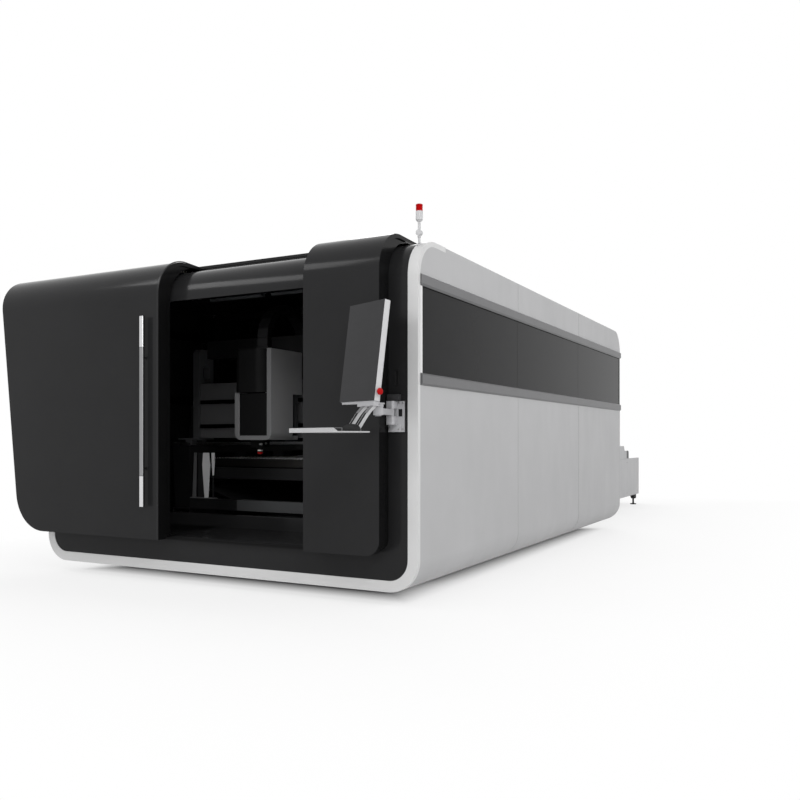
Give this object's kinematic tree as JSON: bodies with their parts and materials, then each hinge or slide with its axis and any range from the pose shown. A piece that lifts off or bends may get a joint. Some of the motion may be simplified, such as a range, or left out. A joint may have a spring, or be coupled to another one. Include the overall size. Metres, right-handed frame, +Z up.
{
  "type": "fiber laser cutting machine",
  "caption": "Enclosed fiber laser cutting machine with a sliding front door, a gantry over slatted pallets, and a pallet-swap station behind",
  "frame": {"origin": "the middle of the machine's footprint, on the floor", "axes": "+Z up, +Y from the door end to the pallet station, +X to the right of someone who faces the door"},
  "size_m": [3.883, 10.454, 2.634],
  "materials": {
    "white_paint": "smooth",
    "silver_paint": "smooth",
    "rail_grey": "satin",
    "black_paint": "satin",
    "frame_paint": "matte",
    "bed_paint": "smooth",
    "steel": "brushed",
    "black_steel": "satin",
    "cast_grey": "smooth",
    "dark_glass": "gloss",
    "black_plastic": "matte",
    "nylon": "matte",
    "brass": "polished",
    "red_plastic": "gloss",
    "light_plastic": "gloss",
    "screen": "gloss",
    "chrome": "polished",
    "motor_black": "satin"
  },
  "bodies": {
    "machine": {"bed_side_right": "bed_paint", "bed_side_left": "bed_paint", "bed_cross_beams": "frame_paint", "levelling_feet": "black_steel", "guide_rails": "steel", "pallet_tracks": "steel", "scrap_conveyor": "steel", "guard_posts": "bed_paint", "station_sides": "silver_paint", "station_cross_beams": "frame_paint", "lift_cylinders": "steel", "drive_motor": "motor_black", "enclosure_frame": "frame_paint", "side_skins_right": "silver_paint", "side_skins_left": "silver_paint", "window_panes": "dark_glass", "window_rails": "rail_grey", "roof_panels": "white_paint", "rear_wall": "silver_paint", "front_trim": "white_paint", "front_panels": "black_paint", "lintel_cover": "black_paint", "ceiling_lights": "light_plastic", "front_cover": "black_paint", "door_tracks": "black_steel", "console_bracket": "black_paint", "tower_mast": "black_paint", "tower_lamp": "red_plastic"},
    "gantry": {"gantry_beam": "cast_grey", "gantry_end_plates": "cast_grey", "gantry_trucks": "steel", "gantry_motors": "motor_black", "beam_rails": "black_steel", "cable_tray": "frame_paint", "cable_chain": "black_plastic"},
    "carriage": {"carriage_housing": "cast_grey", "carriage_covers": "black_paint", "carriage_slide": "steel", "chain_arch": "black_plastic"},
    "head": {"z_slide": "steel", "cutting_head": "black_steel", "nozzle": "brass"},
    "pallet": {"pallet_frame": "frame_paint", "pallet_slats": "steel"},
    "front_wheels": {"front_wheel_set": "steel"},
    "rear_wheels": {"rear_wheel_set": "steel"},
    "lift": {"lift_frame": "frame_paint", "lift_tracks": "bed_paint", "lower_pallet_frame": "frame_paint", "lower_pallet_slats": "steel"},
    "door": {"door_shell": "black_paint", "door_handle": "black_steel", "door_shoes": "nylon"},
    "arm": {"console_arm": "black_paint"},
    "console": {"console_knuckle": "black_paint", "monitor_housing": "silver_paint", "monitor_screen": "screen", "tray_arms": "chrome", "keyboard_tray": "white_paint"},
    "button": {"emergency_button": "red_plastic"}
  },
  "joints": [
    {"name": "door_slide", "type": "slide", "parent": "machine", "child": "door", "axis": [1, 0, 0], "range_m": [0, 1.296]},
    {"name": "gantry_slide", "type": "slide", "parent": "machine", "child": "gantry", "axis": [0, 1, 0], "range_m": [-0.05, 4.1]},
    {"name": "carriage_slide", "type": "slide", "parent": "gantry", "child": "carriage", "axis": [1, 0, 0], "range_m": [-0.77, 0.93]},
    {"name": "head_slide", "type": "slide", "parent": "carriage", "child": "head", "axis": [0, 0, 1], "range_m": [-0.03, 0.12]},
    {"name": "pallet_slide", "type": "slide", "parent": "machine", "child": "pallet", "axis": [0, 1, 0], "range_m": [0, 4.55]},
    {"name": "front_wheel_spin", "type": "hinge", "parent": "pallet", "child": "front_wheels", "pos_m": [0.2016, -2.96303, 0.77], "axis": [-1, 0, 0], "range_deg": [-1, 5220]},
    {"name": "rear_wheel_spin", "type": "hinge", "parent": "pallet", "child": "rear_wheels", "pos_m": [0.2016, 0.23697, 0.77], "axis": [-1, 0, 0], "range_deg": [-1, 5220]},
    {"name": "lift_slide", "type": "slide", "parent": "machine", "child": "lift", "axis": [0, 0, -1], "range_m": [-0.25, 0]},
    {"name": "console_arm_swing", "type": "hinge", "parent": "machine", "child": "arm", "pos_m": [1.7546, -4.45803, 1.268], "axis": [0, 0, 1], "range_deg": [0, 75]},
    {"name": "console_swivel", "type": "hinge", "parent": "arm", "child": "console", "pos_m": [1.8216, -4.74803, 1.268], "axis": [0, 0, 1], "range_deg": [-10, 60]},
    {"name": "stop_press", "type": "slide", "parent": "console", "child": "button", "axis": [-0.9178, 0.3971, 0], "range_m": [0, 0.004], "stiffness_N_per_m": 800}
  ],
  "couplings": [
    {"joint": "front_wheel_spin", "follows": "pallet_slide", "rad_per_m": 20},
    {"joint": "rear_wheel_spin", "follows": "pallet_slide", "rad_per_m": 20}
  ]
}
